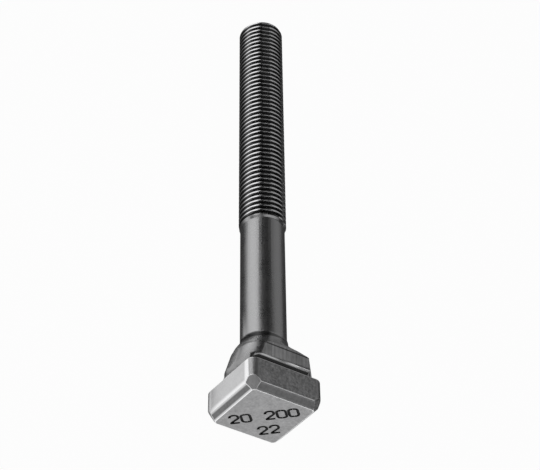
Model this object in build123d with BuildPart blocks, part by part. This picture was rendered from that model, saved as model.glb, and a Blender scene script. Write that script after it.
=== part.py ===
from build123d import *

import os
from math import atan2, cos, radians, sin, sqrt, tan

# T-slot bolt M20 x 200 for 22 mm slots, forged in one piece: a square head that sits in the
# undercut of the slot, a neck with two milled flats that run in the slot's mouth, a plain shank
# and a long thread.  The bolt lies as it comes to rest, on the head's bearing-side edge and the
# crest of the thread at the far end, so its axis leans a little towards the thread end.
# Millimetres, +Z up, origin under the middle of the bounding box.

# Thread and shank
thread_d = 20.0
pitch = 2.5
root_depth = 0.6134 * pitch
thread_length = 48 * pitch
end_chamfer = root_depth + 0.1
run_out = 0.6 * pitch
shank_d = 18.7

# Head: a square with rounded corners and a bold chamfer round its bottom
head_side = 33.0
head_thickness = 13.0
head_corner_radius = 3.5
head_chamfer = 2.6
edge_radius = 0.5

# A cone cuts the head's bottom corners back: how far from the sharp corner, and how much it opens
corner_cut = 4.33
corner_cut_radius = head_side / sqrt(2) - corner_cut
corner_cut_angle = 30.0

# Length from the head's bearing face to the end of the thread
clamp_length = 200.0
bolt_length = head_thickness + clamp_length

# Neck: a foot that flares onto the head, a part milled flat on both sides, a ramp to the shank
foot_height = 4.5
side_height = 8.7
ramp_height = 7.8
foot_top = head_thickness + foot_height
ramp_start = foot_top + side_height
shank_start = ramp_start + ramp_height

# Across the neck: the width over its milled flats, the forged stock left for milling on each side,
# and how much wider the neck is where it meets the head
neck_width = 21.6
half_width = neck_width / 2
milling_stock = 0.45
forged_half = half_width + milling_stock
foot_flare = 1.55

# The milled flats: where they start and end, and the cutter's corner radii
flat_start = foot_top + 3.1
flat_end = ramp_start - 0.4
run_in_radius = 1.2
run_out_radius = 0.4

# The relief under the flats: its depth, the rounded lip above it, the fillet at the head, and how far
# it stops short of the neck's front
relief_depth = 1.5
lip_radius = 1.2
lip_angle = 45
relief_fillet = 1.0
relief_stop = 1.3

# Reach of the neck's two ends from the bolt's axis, and how much nearer they come at the ramp's start
foot_reach = head_side / 2 - 0.2
back_reach = head_side / 2 - 0.9
front_reach = head_side / 2 - 1.1
back_taper = 2.7
front_taper = 1.0

# How far the bolt leans when it rests, and where its axis starts on the head's bottom face
head_contact = head_thickness - edge_radius
thread_contact = bolt_length - end_chamfer
lean = atan2((head_side - thread_d) / 2, thread_contact - head_contact)
head_reach = (head_side / 2 - head_chamfer) * sin(lean)
end_reach = bolt_length * cos(lean) + (thread_d / 2 - end_chamfer) * sin(lean)
start = Vector(
    (end_reach - head_reach) / 2,
    0,
    head_contact * sin(lean) + head_side / 2 * cos(lean),
)

# The bolt's own planes: one across it, with -y the side that faces up, and one along it
axis_plane = Plane(origin=start, x_dir=(0, 1, 0), z_dir=(-cos(lean), 0, -sin(lean)))
width_plane = Plane(origin=start, x_dir=(sin(lean), 0, -cos(lean)), z_dir=(0, 1, 0))
bolt_axis = Axis(axis_plane.origin, axis_plane.z_dir)


def neck_section(height, back, front, side, back_roundness, front_roundness):
    """Return a section of the neck, from its reach backwards (-x), forwards (+x) and sideways."""
    back_corner = back_roundness * side
    front_corner = front_roundness * side
    back_x = back_corner - back
    back_y = side - back_corner
    front_x = front - front_corner
    front_y = side - front_corner
    with BuildSketch(axis_plane.offset(height)) as section:
        with BuildLine():
            Line((back_x, side), (front_x, side))
            CenterArc((front_x, front_y), front_corner, 90, -90)
            Line((front, front_y), (front, -front_y))
            CenterArc((front_x, -front_y), front_corner, 0, -90)
            Line((front_x, -side), (back_x, -side))
            CenterArc((back_x, -back_y), back_corner, 270, -90)
            Line((-back, -back_y), (-back, back_y))
            CenterArc((back_x, back_y), back_corner, 180, -90)
        make_face()
    return section.sketch


def ramp_section(up, back, front, side, back_roundness, front_roundness):
    """Return a section of the ramp: back, front and side are the shares left of the neck's overhang."""
    radius = shank_d / 2
    return neck_section(
        height=ramp_start + up * ramp_height,
        back=radius + back * (back_reach - back_taper - radius),
        front=radius + front * (front_reach - front_taper - radius),
        side=radius + side * (forged_half - radius),
        back_roundness=back_roundness,
        front_roundness=front_roundness,
    )


def shank_section(height):
    """Return the shank's circle in eight arcs, one for each side and corner of the neck."""
    side_angle = 14
    corner_angle = 90 - side_angle
    with BuildSketch(axis_plane.offset(height)) as section:
        with BuildLine():
            for quarter in range(4):
                side_start = 90 - 90 * quarter + side_angle / 2
                CenterArc((0, 0), shank_d / 2, side_start, -side_angle)
                CenterArc((0, 0), shank_d / 2, side_start - side_angle, -corner_angle)
        make_face()
    return section.sketch


with BuildPart() as bolt:
    # Forged head
    with BuildSketch(axis_plane):
        RectangleRounded(head_side, head_side, head_corner_radius)
    extrude(amount=head_thickness)
    bottom_edges = bolt.faces().sort_by(bolt_axis)[0].edges()
    chamfer(bottom_edges, head_chamfer)
    with BuildSketch(axis_plane):
        Circle(corner_cut_radius)
    extrude(amount=head_thickness, taper=-corner_cut_angle, mode=Mode.INTERSECT)
    fillet(bolt.edges(), edge_radius)

    # Foot of the neck, flaring out onto the bearing face
    foot = [
        neck_section(
            head_thickness,
            back=foot_reach,
            front=foot_reach,
            side=forged_half + foot_flare,
            back_roundness=0.77,
            front_roundness=0.27,
        ),
        neck_section(
            head_thickness + 0.27 * foot_height,
            back=0.57 * back_reach + 0.43 * foot_reach,
            front=0.57 * front_reach + 0.43 * foot_reach,
            side=forged_half + 0.35 * foot_flare,
            back_roundness=0.85,
            front_roundness=0.19,
        ),
        neck_section(
            foot_top,
            back=back_reach,
            front=front_reach,
            side=forged_half,
            back_roundness=0.9,
            front_roundness=0.11,
        ),
    ]
    loft(foot)

    # Sides of the neck, tapering up to the ramp
    ramp_foot = neck_section(
        ramp_start,
        back=back_reach - back_taper,
        front=front_reach - front_taper,
        side=forged_half,
        back_roundness=0.9,
        front_roundness=0.11,
    )
    loft([foot[-1], ramp_foot], ruled=True)

    # Ramp to the round shank: a dome at the back, hollow where it meets the shank
    ramp = [
        ramp_foot,
        ramp_section(
            up=0.22, back=0.79, front=0.3, side=0.66, back_roundness=0.93, front_roundness=0.45
        ),
        ramp_section(
            up=0.44, back=0.52, front=0.08, side=0.38, back_roundness=0.92, front_roundness=0.8
        ),
        ramp_section(
            up=0.66, back=0.2, front=0.02, side=0.13, back_roundness=0.9, front_roundness=0.88
        ),
        shank_section(shank_start),
    ]
    loft(ramp)

    # Milled flats, sunk a little into the forged sides by a round-cornered cutter
    with BuildSketch(width_plane):
        with BuildLine():
            Line((-half_width, flat_start), (-half_width, flat_end - run_out_radius))
            CenterArc(
                (-half_width - run_out_radius, flat_end - run_out_radius), run_out_radius, 0, 90
            )
            Polyline(
                (-half_width - run_out_radius, flat_end),
                (-half_width - run_in_radius - foot_flare, flat_end),
                (-half_width - run_in_radius - foot_flare, flat_start - run_in_radius),
                (-half_width - run_in_radius, flat_start - run_in_radius),
            )
            CenterArc((-half_width - run_in_radius, flat_start), run_in_radius, 270, 90)
        make_face()
        mirror(about=Plane.YZ)
    extrude(amount=head_side, both=True, mode=Mode.SUBTRACT)

    # Relief between the flats and the head's bearing face
    lip_across = lip_radius * (1 - cos(radians(lip_angle)))
    lip_foot = flat_start - lip_radius * sin(radians(lip_angle))
    slope_foot = lip_foot - (relief_depth - lip_across) * tan(radians(lip_angle))
    outside = half_width + run_in_radius + foot_flare
    with BuildSketch(width_plane.offset(front_reach - relief_stop)):
        with BuildLine():
            CenterArc((-half_width + lip_radius, flat_start), lip_radius, 180, lip_angle)
            Polyline(
                (-half_width + lip_across, lip_foot),
                (-half_width + relief_depth, slope_foot),
                (-half_width + relief_depth, head_thickness + relief_fillet),
            )
            CenterArc(
                (-half_width + relief_depth - relief_fillet, head_thickness + relief_fillet),
                relief_fillet,
                0,
                -90,
            )
            Polyline(
                (-half_width + relief_depth - relief_fillet, head_thickness),
                (-outside, head_thickness),
                (-outside, flat_start),
                (-half_width, flat_start),
            )
        make_face()
        mirror(about=Plane.YZ)
    extrude(amount=-2 * head_side, mode=Mode.SUBTRACT)

    # Shank, run-out and threaded end at its major diameter
    with BuildSketch(axis_plane.offset(shank_start)):
        Circle(shank_d / 2)
    extrude(amount=bolt_length - thread_length - run_out - shank_start)
    with BuildSketch(axis_plane.offset(bolt_length - thread_length - run_out)):
        Circle(shank_d / 2)
    with BuildSketch(axis_plane.offset(bolt_length - thread_length)):
        Circle(thread_d / 2)
    loft()
    with BuildSketch(axis_plane.offset(bolt_length - thread_length)):
        Circle(thread_d / 2)
    extrude(amount=thread_length)
    end_edge = bolt.edges().sort_by(bolt_axis)[-1]
    chamfer(end_edge, end_chamfer)

bolt.part.label = "bolt"

os.makedirs("parts", exist_ok=True)
export_step(bolt.part, "parts/bolt.step")
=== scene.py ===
from math import atan2, cos, hypot, pi, radians, sin, sqrt, tan, tau

import bmesh
import bpy
from mathutils import Matrix, Vector


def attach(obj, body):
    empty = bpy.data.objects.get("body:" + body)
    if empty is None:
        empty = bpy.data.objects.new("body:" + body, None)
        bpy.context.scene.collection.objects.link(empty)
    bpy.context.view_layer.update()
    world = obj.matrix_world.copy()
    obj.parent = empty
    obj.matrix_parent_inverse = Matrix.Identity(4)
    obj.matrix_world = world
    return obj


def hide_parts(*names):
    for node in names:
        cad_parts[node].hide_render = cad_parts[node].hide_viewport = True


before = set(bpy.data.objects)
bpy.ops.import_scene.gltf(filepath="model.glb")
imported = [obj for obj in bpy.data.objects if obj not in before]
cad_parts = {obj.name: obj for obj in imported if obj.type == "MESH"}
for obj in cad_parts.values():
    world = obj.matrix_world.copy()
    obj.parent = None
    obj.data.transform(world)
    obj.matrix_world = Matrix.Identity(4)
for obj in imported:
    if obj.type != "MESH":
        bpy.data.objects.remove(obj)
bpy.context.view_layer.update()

# The bolt's sizes, in millimetres; heights are along its axis from the head's bottom face
thread_d = 20.0
pitch = 2.5
root_depth = 0.6134 * pitch
thread_length = 48 * pitch
end_chamfer = root_depth + 0.1
shank_d = 18.7
head_side = 33.0
half_head = head_side / 2
head_thickness = 13.0
head_chamfer = 2.6
edge_radius = 0.5
bolt_length = 213.0
neck_width = 21.6
half_neck = neck_width / 2
flat_start = 20.6
flat_end = 25.8
shank_start = 34.0
thread_start = bolt_length - thread_length

# Height where the thread's own mesh takes over from the shank
join_height = thread_start - 1.8

# How it lies: the lean of its axis, and where the axis starts on the head's bottom face
head_contact = head_thickness - edge_radius
lean = atan2((head_side - thread_d) / 2, bolt_length - end_chamfer - head_contact)
head_reach = (half_head - head_chamfer) * sin(lean)
end_reach = bolt_length * cos(lean) + (thread_d / 2 - end_chamfer) * sin(lean)
start_x = (end_reach - head_reach) / 2
start_z = head_contact * sin(lean) + half_head * cos(lean)

# From the bolt's own axes, in millimetres with z along it, to its place in metres
millimetre = 0.001
bolt_axes = Matrix(
    (
        (0, sin(lean), -cos(lean), start_x),
        (1, 0, 0, 0),
        (0, -cos(lean), -sin(lean), start_z),
        (0, 0, 0, 1),
    )
)
to_place = Matrix.Scale(millimetre, 4) @ bolt_axes
to_bolt = to_place.inverted()

# What brings the head's bottom to the origin, once the bolt is turned level
head_start = (
    -(start_x * cos(lean) + start_z * sin(lean)) * millimetre,
    0,
    (start_x * sin(lean) - start_z * cos(lean)) * millimetre,
)


# Finishes


class Value:
    """A node's output, used in sums: each operator adds a Math node."""

    def __init__(self, finish, socket):
        self.finish = finish
        self.socket = socket

    def math(self, operation, *values):
        return self.finish.node(
            "ShaderNodeMath", {"operation": operation}, dict(enumerate(values))
        )

    def larger(self, other):
        return self.math("MAXIMUM", self, other)

    def __abs__(self):
        return self.math("ABSOLUTE", self)

    def __add__(self, other):
        return self.math("ADD", self, other)

    def __radd__(self, other):
        return self.math("ADD", other, self)

    def __sub__(self, other):
        return self.math("SUBTRACT", self, other)

    def __rsub__(self, other):
        return self.math("SUBTRACT", other, self)

    def __mul__(self, other):
        return self.math("MULTIPLY", self, other)

    def __rmul__(self, other):
        return self.math("MULTIPLY", other, self)


class Finish:
    """A material and the nodes that make it."""

    def __init__(self, name):
        self.material = bpy.data.materials.new(name)
        self.material.use_nodes = True
        self.nodes = self.material.node_tree.nodes
        self.links = self.material.node_tree.links
        self.nodes.clear()

    def node(self, kind, settings, inputs, output=0):
        """Add a node, with settings and its inputs' values or links; return one output."""
        made = self.nodes.new(kind)
        for name, setting in settings.items():
            setattr(made, name, setting)
        for name, value in inputs.items():
            if isinstance(value, Value):
                self.links.new(value.socket, made.inputs[name])
            else:
                made.inputs[name].default_value = value
        return Value(self, made.outputs[output]) if made.outputs else None

    def blend(self, share, first, second):
        """Mix two colours, by the Mix node's sockets for colours."""
        return self.node(
            "ShaderNodeMix",
            {"data_type": "RGBA"},
            {0: share, 6: first, 7: second},
            output=2,
        )

    def ramp(self, value, low, high):
        """Stretch a value so that low becomes 0 and high becomes 1, and no more."""
        return self.node(
            "ShaderNodeMapRange", {}, {"Value": value, "From Min": low, "From Max": high}
        )

    def noise(self, place, scale, detail=3.0, roughness=0.5):
        return self.node(
            "ShaderNodeTexNoise",
            {},
            {"Vector": place, "Scale": scale, "Detail": detail, "Roughness": roughness},
        )

    def place(self):
        """Where a point is, in metres."""
        return self.node("ShaderNodeTexCoord", {}, {}, "Object")

    def split(self, place):
        """The three coordinates of a place."""
        return [
            self.node("ShaderNodeSeparateXYZ", {}, {0: place}, axis) for axis in range(3)
        ]

    def along_bolt(self, stretch=(1, 1, 1), shift=(0, 0, 0)):
        """A place in metres, level with the bolt and stretched along, across and up."""
        return self.node(
            "ShaderNodeMapping",
            {"vector_type": "POINT"},
            {
                "Vector": self.place(),
                "Location": shift,
                "Rotation": (0, lean, 0),
                "Scale": stretch,
            },
        )

    def on_bolt(self):
        """A place on the bolt in millimetres: height from its bottom, across and up."""
        along, across, up = self.split(self.along_bolt(shift=head_start))
        scale = 1 / millimetre
        return along * -scale, across * scale, up * scale

    def mix_shaders(self, share, first, second):
        return self.node("ShaderNodeMixShader", {}, {0: share, 1: first, 2: second})

    def glow(self, level):
        return self.node(
            "ShaderNodeEmission", {}, {"Color": (level, level, level, 1), "Strength": 1.0}
        )

    def surface(self, shader):
        """Close the material with its shader."""
        self.node("ShaderNodeOutputMaterial", {}, {"Surface": shader})
        return self.material


def grey(level):
    """Steel's grey, a touch blue."""
    return (level, level, level * 1.01, 1.0)


# Near-white for the bands on the head's edges: partly worn steel, partly a painted
# highlight
rubbed_bright_and_highlight = grey(0.95)
# Near-black for painted shade in the neck's recesses and hollows, not real scale
painted_shade_dark = grey(0.04)


def steel(
    name,
    dark,
    light,
    roughness,
    patch=260,
    grain=1100,
    stretch=(1, 1, 1),
    depth=0.02,
    wear_and_highlight=None,
    scale=None,
):
    """A steel finish: patches a few millimetres wide over a fine grain, which has a bump.

    It runs from a dark to a light grey. patch and grain say how fine the two are, stretch
    how the grain is drawn out along, across and up, and depth how deep the bump is in
    millimetres. Two masks, by where a point is on the bolt, give the shares of the surface
    that are made near-white, partly worn steel and partly a painted highlight, and that the
    scale mask darkens with painted shade.
    """
    finish = Finish(name)
    patches = finish.ramp(finish.noise(finish.along_bolt(), patch), 0.3, 0.7)
    fine_noise = finish.noise(finish.along_bolt(stretch), grain, detail=4.0, roughness=0.65)
    grains = finish.ramp(fine_noise, 0.3, 0.7)
    colour = finish.blend(patches * 0.4 + grains * 0.6, grey(dark), grey(light))
    # Near-white bands by place on the bolt: partly worn edges, partly a painted highlight
    if wear_and_highlight:
        colour = finish.blend(wear_and_highlight(finish, *finish.on_bolt()), colour, rubbed_bright_and_highlight)
    # Painted shade: the scale mask darkens steps, recesses and hollows, standing in for
    # shade
    if scale:
        colour = finish.blend(scale(finish, *finish.on_bolt()), colour, painted_shade_dark)
    bump = finish.node(
        "ShaderNodeBump",
        {},
        {"Strength": 0.6, "Distance": depth * millimetre, "Height": grains},
    )
    return finish.surface(
        finish.node(
            "ShaderNodeBsdfPrincipled",
            {},
            {
                "Base Color": colour,
                "Metallic": 1.0,
                "Roughness": roughness + (patches - 0.5) * 0.08 + (grains - 0.5) * 0.08,
                "Normal": bump,
            },
        )
    )


def band(finish, height, middle, reach):
    """1 in a band round the bolt, fading to 0 at about its reach from the middle."""
    return finish.ramp(abs(height - middle), reach * 1.3, reach * 0.7)


def rubbed_borders_and_painted_highlight(finish, height, across, up):
    """Near-white bands on both borders of the bottom chamfer, fewer on the forged sides: a
    painted highlight along the edges, partly worn steel.
    """
    upper = band(finish, height, head_chamfer, 0.6)
    lower = band(finish, height, 0.0, 0.5)
    at_ends = finish.ramp(abs(across), half_head - 4.0, half_head - 2.7)
    return upper.larger(lower) * (0.15 + at_ends * 0.45)


def worn_edges_and_painted_highlight(finish, height, across, up):
    """Near-white bands on the head's ends, beside the bottom chamfer and the upright
    corners: a painted highlight, partly worn steel.
    """
    near_chamfer = finish.ramp(height, head_chamfer + 2.0, head_chamfer + 0.7)
    near_corner = finish.ramp(abs(up), half_head - 5.3, half_head - 4.1)
    return near_chamfer.larger(near_corner) * 0.9


def painted_shade_under_lip(finish, height, across, up):
    """Painted shade on the slope under the rounded lip, where the recess lies in shade."""
    return finish.ramp(height, flat_start - 0.75, flat_start - 1.1)


def painted_shade_on_neck(finish, height, across, up):
    """Painted shade: a dark line above the flats, a dark band in the hollow at the shank's
    foot, and darkening low on the neck's back.
    """
    over_flat = finish.ramp(abs(up), half_neck - 2.2, half_neck - 1.4)
    not_at_back = finish.ramp(across, -7.5, -5.5)
    step = band(finish, height, flat_end + 0.3, 0.3) * over_flat * not_at_back * 0.85
    behind = finish.ramp(across, 3.0, -8.0)
    hollow_width = 0.25 + behind * 1.5
    hollow = band(finish, height, shank_start - 1.8, hollow_width) * (0.6 + behind * 0.3)
    low = finish.ramp(height, 27.0, 14.0)
    at_back = finish.ramp(across, -6.0, -12.0)
    return step.larger(hollow).larger(low * at_back * 0.5)


finishes = {
    "ground": steel("ground_steel", 0.48, 0.64, 0.36, wear_and_highlight=worn_edges_and_painted_highlight),
    "forged_side": steel("forged_side", 0.14, 0.72, 0.42, patch=420, grain=900),
    "bottom": steel("blasted_steel", 0.23, 0.49, 0.5, patch=300, depth=0.04),
    # The end chamfers take a darker copy of the side chamfers' steel: painted shade
    "chamfer": steel("chamfer_painted_shade", 0.12, 0.24, 0.45, wear_and_highlight=rubbed_borders_and_painted_highlight),
    "side_chamfer": steel("side_chamfer", 0.26, 0.44, 0.45, wear_and_highlight=rubbed_borders_and_painted_highlight),
    "corner": steel("rounded_corner", 0.36, 0.54, 0.42),
    # The part of the upright corners next to the ends takes near-white steel: a painted
    # highlight
    "corner_painted_highlight": steel("corner_painted_highlight", 0.85, 0.95, 0.3),
    # Edge fillets take near-white steel: painted highlight lines, partly worn edges
    "edge": steel("worn_edge_and_painted_highlight", 0.8, 0.95, 0.34),
    "stamp": steel("dark_stamp", 0.02, 0.04, 0.6),
    "milled": steel(
        "milled_flat",
        0.22,
        0.84,
        0.36,
        patch=160,
        grain=1400,
        stretch=(0.04, 1, 1),
        scale=painted_shade_on_neck,
    ),
    "lip": steel("rounded_lip", 0.64, 0.8, 0.36, scale=painted_shade_under_lip),
    # Recess walls under the lip take near-black steel: painted shade in the recess
    "relief": steel("relief_painted_shade", 0.08, 0.14, 0.45),
    "neck": steel("forged_neck", 0.4, 0.54, 0.3, patch=300, scale=painted_shade_on_neck),
    "shank": steel(
        "turned_shank", 0.4, 0.47, 0.3, patch=120, grain=1800, stretch=(1, 0.5, 0.5)
    ),
    "cut_end": steel("cut_end", 0.2, 0.42, 0.4, patch=500, grain=2200),
    "thread": steel("oiled_thread", 0.09, 0.13, 0.22),
    "crest": steel("thread_crest", 0.74, 0.86, 0.15, depth=0.005),
}
finish_order = list(finishes)


# Pieces


def new_piece(name, bm):
    mesh = bpy.data.meshes.new(name)
    bm.to_mesh(mesh)
    bm.free()
    piece = bpy.data.objects.new(name, mesh)
    bpy.context.scene.collection.objects.link(piece)
    return piece


def finished_mesh(piece):
    """A piece's mesh with its modifiers or its curve's bevel applied."""
    shown = piece.evaluated_get(bpy.context.evaluated_depsgraph_get())
    return bpy.data.meshes.new_from_object(shown)


def cut_out(piece, cutter):
    """Take a cutter's shape out of a piece, and the cutter away."""
    cut = piece.modifiers.new("cut", "BOOLEAN")
    cut.operation = "DIFFERENCE"
    cut.solver = "EXACT"
    cut.use_self = True
    cut.object = cutter
    mesh = finished_mesh(piece)
    piece.modifiers.clear()
    piece.data = mesh
    bpy.data.objects.remove(cutter)


def cut_across(bm, height, clear_above):
    """Cut square across the bolt at a height, and clear what lies above or below it."""
    bmesh.ops.bisect_plane(
        bm,
        geom=bm.verts[:] + bm.edges[:] + bm.faces[:],
        dist=1e-5,
        plane_co=(0, 0, height),
        plane_no=(0, 0, 1 if clear_above else -1),
        clear_outer=True,
    )


def close_end(bm, height):
    """Close the open ring at a height."""
    ring = [
        edge
        for edge in bm.edges
        if edge.is_boundary and all(abs(v.co.z - height) < 0.01 for v in edge.verts)
    ]
    bmesh.ops.holes_fill(bm, edges=ring, sides=0)


def forged_body():
    """The head, neck and shank: the solid's own shape up to the thread."""
    bm = bmesh.new()
    bm.from_mesh(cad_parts["bolt"].data)
    bmesh.ops.transform(bm, matrix=to_bolt, verts=bm.verts)
    bmesh.ops.remove_doubles(bm, verts=bm.verts, dist=0.002)
    bmesh.ops.dissolve_limit(bm, angle_limit=radians(0.1), verts=bm.verts, edges=bm.edges)
    cut_across(bm, join_height, clear_above=True)
    close_end(bm, join_height)
    return new_piece("forged_body", bm)


def flat_cutter():
    """Two blocks that let the milled flats run out on the ramp, with no step at the end."""
    thickness = 4
    cutter_start = flat_start + 1.5
    cutter_end = shank_start - 0.5
    bm = bmesh.new()
    for side in (-1, 1):
        block = bmesh.ops.create_cube(bm, size=1)["verts"]
        size = (head_side, thickness, cutter_end - cutter_start)
        middle = (0, side * (half_neck + thickness / 2), (cutter_end + cutter_start) / 2)
        bmesh.ops.scale(bm, verts=block, vec=size)
        bmesh.ops.translate(bm, verts=block, vec=middle)
    return new_piece("flat_cutter", bm)


# Stamped figures: a round-nosed cutter's strokes, as points across and up from their foot.
# A nought is two halves that all but meet, so that no stroke crosses itself.
stroke_radius = 0.58
stroke_depth = 0.45
figure_step = 4.6
strokes = {
    "0": [
        [(-0.04, 5.0), (-1.7, 5.1), (-1.75, 2.5), (-1.7, -0.1), (-0.04, 0)],
        [(0.04, 5.0), (1.7, 5.1), (1.75, 2.5), (1.7, -0.1), (0.04, 0)],
    ],
    "2": [
        [(-1.6, 3.7), (-1.5, 5.2), (1.5, 5.4), (1.9, 3.2), (0.6, 2.2)]
        + [(-1.3, 0.6), (-1.7, -0.05), (-0.9, 0), (0.4, 0), (1.7, 0)],
    ],
}

# Rows of figures, each with its foot's height, running from corner to corner of the face
rows = (("20 200", -2.0), ("22", -11.9))
row_across = Vector((1, -1, 0)) / sqrt(2)
row_up = Vector((-1, -1, 0)) / sqrt(2)

# The figures' bounds from the face's middle: either way, and the two ways added together
stamp_reach = 13.0
stamp_corner = 24.0


def stroke_cutter():
    """The figures' strokes, round-nosed, where they cut the head's bottom face."""
    curve = bpy.data.curves.new("strokes", "CURVE")
    curve.dimensions = "3D"
    curve.bevel_depth = stroke_radius
    curve.bevel_resolution = 3
    curve.resolution_u = 6
    curve.use_fill_caps = True
    for figures, foot in rows:
        for place, figure in enumerate(figures):
            middle = (place - (len(figures) - 1) / 2) * figure_step
            for stroke in strokes.get(figure, []):
                spline = curve.splines.new("NURBS")
                spline.points.add(len(stroke) - 1)
                for point, (x, y) in zip(spline.points, stroke):
                    spot = row_across * (middle + x) + row_up * (foot + y)
                    point.co = (spot.x, spot.y, stroke_depth - stroke_radius, 1)
                spline.order_u = 3
                spline.use_endpoint_u = True
    piece = bpy.data.objects.new("strokes", curve)
    bpy.context.scene.collection.objects.link(piece)
    bm = bmesh.new()
    bm.from_mesh(finished_mesh(piece))
    bpy.data.objects.remove(piece)
    bmesh.ops.recalc_face_normals(bm, faces=bm.faces)
    return new_piece("stroke_cutter", bm)


def thread_profile():
    """One pitch of the thread, from root to root, as points along the bolt and outwards."""
    steep = radians(60)
    crest = 0.3 * pitch
    root_round = 0.08 * pitch
    ease = 0.08
    flank_top = pitch / 2 - crest / 2
    flank_foot = root_round * sin(steep)
    flank_height = (flank_top - flank_foot) * tan(steep)
    root_middle = thread_d / 2 - flank_height + root_round * cos(steep)
    half = []
    for angle in (0, steep / 2, steep):
        half.append((root_round * sin(angle), root_middle - root_round * cos(angle)))
    half.append((flank_top - ease * tan(steep / 2), thread_d / 2 - ease))
    half.append((flank_top + ease, thread_d / 2))
    return half + [(pitch - z, r) for z, r in reversed(half)]


def rolled_thread():
    """The thread: its profile wound up the bolt, with its run-out and end chamfer."""
    turn_steps = 72
    spare_turns = 2
    turns = round(thread_length / pitch) + 2 * spare_turns
    foot = thread_start - spare_turns * pitch
    bm = bmesh.new()
    points = [bm.verts.new((r, 0, foot + z)) for z, r in thread_profile()]
    for pair in zip(points, points[1:]):
        bm.edges.new(pair)
    bmesh.ops.spin(
        bm,
        geom=bm.verts[:] + bm.edges[:],
        cent=(0, 0, 0),
        axis=(0, 0, 1),
        dvec=(0, 0, pitch / turn_steps),
        angle=tau,
        steps=turn_steps,
        use_merge=False,
    )
    first_turn = bm.verts[:] + bm.edges[:] + bm.faces[:]
    for turn in range(1, turns):
        copied = bmesh.ops.duplicate(bm, geom=first_turn)["geom"]
        copied_verts = [part for part in copied if isinstance(part, bmesh.types.BMVert)]
        bmesh.ops.translate(bm, verts=copied_verts, vec=(0, 0, turn * pitch))
    bmesh.ops.remove_doubles(bm, verts=bm.verts, dist=0.001)
    cut_across(bm, bolt_length, clear_above=True)
    cut_across(bm, join_height, clear_above=False)
    run_out_and_chamfer(bm)
    close_end(bm, bolt_length)
    close_end(bm, join_height)
    bmesh.ops.recalc_face_normals(bm, faces=bm.faces)
    return new_piece("rolled_thread", bm)


def run_out_and_chamfer(bm):
    """Bring the thread down to the shank at its start and to the chamfer at its end."""
    run_out_start = thread_start - 1.0
    run_out = 1.6
    shank_radius = shank_d / 2
    for v in bm.verts:
        radius = hypot(v.co.x, v.co.y)
        share = min(max((v.co.z - run_out_start) / run_out, 0), 1)
        in_run_out = shank_radius + (radius - shank_radius) * share
        in_chamfer = thread_d / 2 - end_chamfer + bolt_length - v.co.z
        wanted = min(in_run_out, in_chamfer)
        v.co.x *= wanted / radius
        v.co.y *= wanted / radius


# A normal points along an axis when its share of it is above full_share, and square to an
# axis when its share is below no_share
full_share = 0.999
no_share = 0.01


def body_finish(centre, normal):
    """Which finish a face of the head, neck or shank takes, by its place and direction."""
    x, y, z = abs(centre.x), abs(centre.y), centre.z
    to_end, to_side = abs(normal.x), abs(normal.y)
    if z > shank_start:
        return "shank"
    if z > head_thickness + 0.02:
        if to_side > full_share and z > flat_start:
            return "milled"
        if z < flat_start and to_end < no_share:
            if normal.z < -no_share:
                return "lip"
            # The recess below the lip, inside the neck's width: painted shade
            if y < half_neck:
                return "relief"
        return "neck"
    if normal.z < -full_share and z < 0.01:
        return "bottom"
    if z < stroke_depth + 0.05 and max(x, y) < stamp_reach and x + y < stamp_corner:
        return "stamp"
    if to_side > full_share:
        return "forged_side"
    if to_end > full_share or normal.z > full_share:
        return "ground"
    if abs(normal.z) < no_share:
        # Corner faces next to the end faces are a painted highlight; the rest take plain
        # corner steel
        return "corner_painted_highlight" if to_side < sin(radians(20)) else "corner"
    if abs(normal.z + sin(radians(45))) < 0.01 and max(to_end, to_side) > 0.7:
        return "side_chamfer" if to_side > 0.7 else "chamfer"
    if abs(normal.z + sin(radians(30))) < 0.04 and max(to_end, to_side) < 0.75:
        return "corner"
    # Fillets and small leftover faces: near-white, a painted highlight, partly worn edges
    return "edge"


def thread_finish(centre, normal):
    """Which finish a face of the thread takes, by its place and direction."""
    radius = hypot(centre.x, centre.y)
    at_end = centre.z > bolt_length - end_chamfer - 0.01
    if centre.z < thread_start + 0.5:
        return "shank"
    if normal.z > 0.6 and at_end and radius < thread_d / 2 - 0.3:
        return "cut_end"
    if radius > thread_d / 2 - 0.05:
        return "crest"
    return "thread"


def add_piece(bm, piece, choose_finish):
    """Add a piece's faces to a mesh, each with its finish, and remove the piece."""
    faces_before = len(bm.faces)
    bm.from_mesh(piece.data)
    bm.faces.ensure_lookup_table()
    for face in bm.faces[faces_before:]:
        finish = choose_finish(face.calc_center_median(), face.normal)
        face.material_index = finish_order.index(finish)
    bpy.data.objects.remove(piece)


body = forged_body()
cut_out(body, flat_cutter())
cut_out(body, stroke_cutter())
thread = rolled_thread()

bolt_mesh = bmesh.new()
add_piece(bolt_mesh, body, body_finish)
add_piece(bolt_mesh, thread, thread_finish)
bmesh.ops.transform(bolt_mesh, matrix=to_place, verts=bolt_mesh.verts)
bolt = new_piece("t_slot_bolt", bolt_mesh)
for material in finishes.values():
    bolt.data.materials.append(material)
bolt.data.shade_smooth()
bolt.data.set_sharp_from_angle(angle=radians(38))
weighted = bolt.modifiers.new("weighted_normals", "WEIGHTED_NORMAL")
weighted.keep_sharp = True
weighted.weight = 80
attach(bolt, "root")
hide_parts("bolt")


# Floor, lamps and camera


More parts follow.
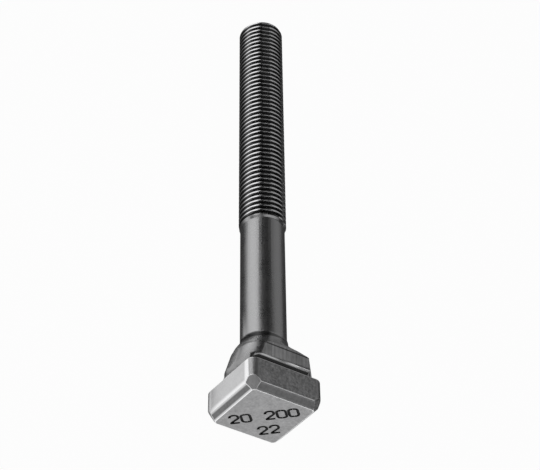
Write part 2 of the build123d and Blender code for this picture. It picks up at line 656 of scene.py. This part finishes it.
def floor_material():
    """White paper. In the steel it is white to the left, by the head and past it, and dim
    elsewhere near the bolt: a painted shadow, seen only in reflections.
    """
    finish = Finish("white_floor")
    camera_ray = finish.node("ShaderNodeLightPath", {}, {}, "Is Camera Ray")
    glossy_ray = finish.node("ShaderNodeLightPath", {}, {}, "Is Glossy Ray")
    through_ray = finish.node("ShaderNodeLightPath", {}, {}, "Is Transmission Ray")
    along, across, _ = finish.split(finish.place())
    to_the_left = finish.ramp(across, -0.021, -0.053)
    by_the_head = finish.ramp(along, 0.045, 0.06) * finish.ramp(across, -0.017, -0.022)
    past_the_head = finish.ramp(along, 0.1, 0.108)
    outside_painted_shadow = to_the_left.larger(by_the_head.larger(past_the_head))
    paper = finish.node("ShaderNodeBsdfDiffuse", {}, {"Color": (0.8, 0.8, 0.8, 1)})
    white = finish.glow(1.0)
    # Dim glow seen only by glossy rays: the bolt's painted shadow on the floor
    painted_shadow_glow = finish.glow(0.06)
    seen = finish.mix_shaders((camera_ray + through_ray) * 0.97, paper, white)
    # Glossy rays see white glow, or the painted shadow near the bolt
    mirrored_with_painted_shadow = finish.mix_shaders(outside_painted_shadow, painted_shadow_glow, white)
    return finish.surface(finish.mix_shaders(glossy_ray, seen, mirrored_with_painted_shadow))


floor_mesh = bmesh.new()
bmesh.ops.create_grid(floor_mesh, x_segments=4, y_segments=4, size=60.0)
floor = new_piece("floor", floor_mesh)
floor.data.materials.append(floor_material())


def softbox(name, place, width, height, radiance, aim=(0, 0, 0)):
    """A rectangular lamp that looks as bright as radiance."""
    lamp = bpy.data.lights.new(name, "AREA")
    lamp.shape = "RECTANGLE"
    lamp.size = width
    lamp.size_y = height
    lamp.energy = radiance * width * height * pi
    box = bpy.data.objects.new(name, lamp)
    box.location = place
    box.rotation_euler = (Vector(aim) - Vector(place)).to_track_quat("-Z", "Y").to_euler()
    bpy.context.scene.collection.objects.link(box)


softbox("key_softbox", (0.55, 0.2, 1.15), width=1.4, height=1.4, radiance=0.6)
softbox("left_card", (-0.76, -0.9, 0.3), width=1.3, height=0.6, radiance=1.0)
softbox("side_panel", (-0.74, 0.6, 0.6), width=0.9, height=0.9, radiance=0.28)
softbox("high_card", (-0.15, -0.95, 0.6), width=0.7, height=0.5, radiance=0.9)
softbox(
    "corner_card", (0.32, -0.5, 0.34), width=0.4, height=0.4, radiance=0.45, aim=(0.1, 0, 0)
)

world = bpy.data.worlds.new("studio")
world.use_nodes = True
world.node_tree.nodes["Background"].inputs["Color"].default_value = (0.03, 0.03, 0.03, 1)
bpy.context.scene.world = world

# The camera: its place, and its right and backward directions, made square to each other
camera_place = Vector((0.39655, -0.26299, 0.41691))
near_right = Vector((-0.0082, 0.8302, 0.5573)).normalized()
back = Vector((0.62, -0.4331, 0.6542)).normalized()
up = back.cross(near_right).normalized()
right = up.cross(back)
turn = Matrix((right, up, back)).transposed().to_4x4()
camera_data = bpy.data.cameras.new("camera")
camera_data.lens = 97.5
camera_data.sensor_width = 36.0
camera_data.sensor_fit = "HORIZONTAL"
camera_data.clip_start = 0.01
camera = bpy.data.objects.new("camera", camera_data)
camera.matrix_world = Matrix.Translation(camera_place) @ turn
bpy.context.scene.collection.objects.link(camera)
bpy.context.scene.camera = camera
bpy.context.scene.view_settings.view_transform = "Standard"
